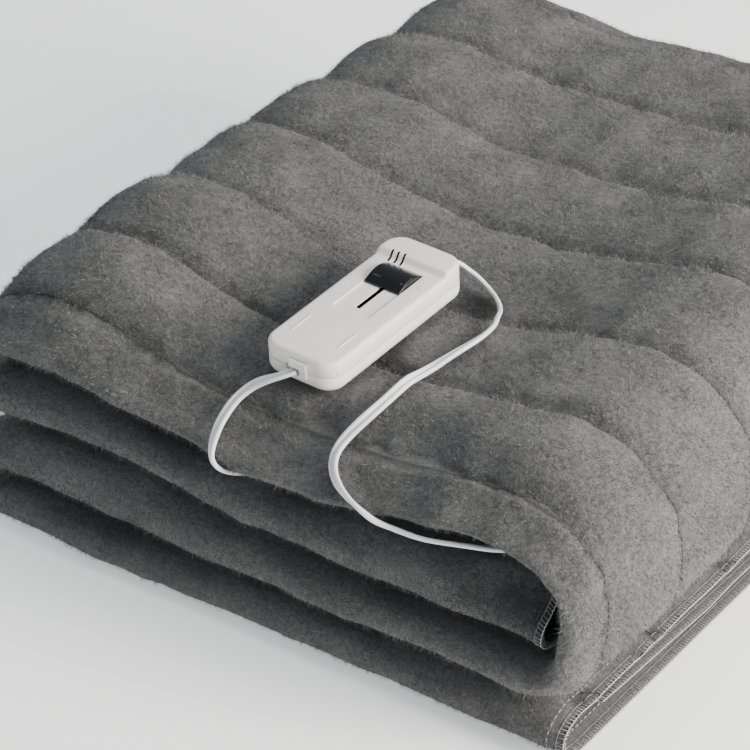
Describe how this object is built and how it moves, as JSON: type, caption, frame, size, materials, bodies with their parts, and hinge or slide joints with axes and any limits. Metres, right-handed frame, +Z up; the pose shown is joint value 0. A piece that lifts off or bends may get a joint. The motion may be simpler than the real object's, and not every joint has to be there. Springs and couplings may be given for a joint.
{
  "type": "electric heated blanket",
  "caption": "Fleece heated blanket with sewn channels, folded up, its slider hand controller and flat leads on top, the rest of the mains lead coiled behind it with the plug.",
  "frame": {"origin": "on the surface the folded blanket lies on, under the middle of its bounding box without the leads and the plug", "axes": "+Z up, -Y toward the rolled front edges of the layers, where the leads hang over; +X toward the blanket's free ends and the big turn"},
  "size_m": [0.4574, 0.6331, 0.177],
  "materials": {
    "fleece": "mottled grey short pile fleece",
    "controller_plastic": "warm white, satin",
    "knob_plastic": "glossy black",
    "lead_plastic": "white, soft, satin",
    "blade_metal": "nickelled"
  },
  "bodies": {
    "blanket": {"blanket": "fleece", "controller_base": "controller_plastic", "controller_cover": "controller_plastic", "mains_relief": "lead_plastic", "blanket_lead": "lead_plastic", "mains_lead": "lead_plastic", "mains_coil": "lead_plastic", "mains_tail": "lead_plastic", "plug_body": "lead_plastic", "plug_blade_left": "blade_metal", "plug_blade_right": "blade_metal"},
    "slider": {"slider_knob": "knob_plastic"}
  },
  "joints": [
    {"name": "knob_slide", "type": "slide", "parent": "blanket", "child": "slider", "axis": [-0.0331, -0.9978, -0.0576], "range_m": [0, 0.029]}
  ]
}
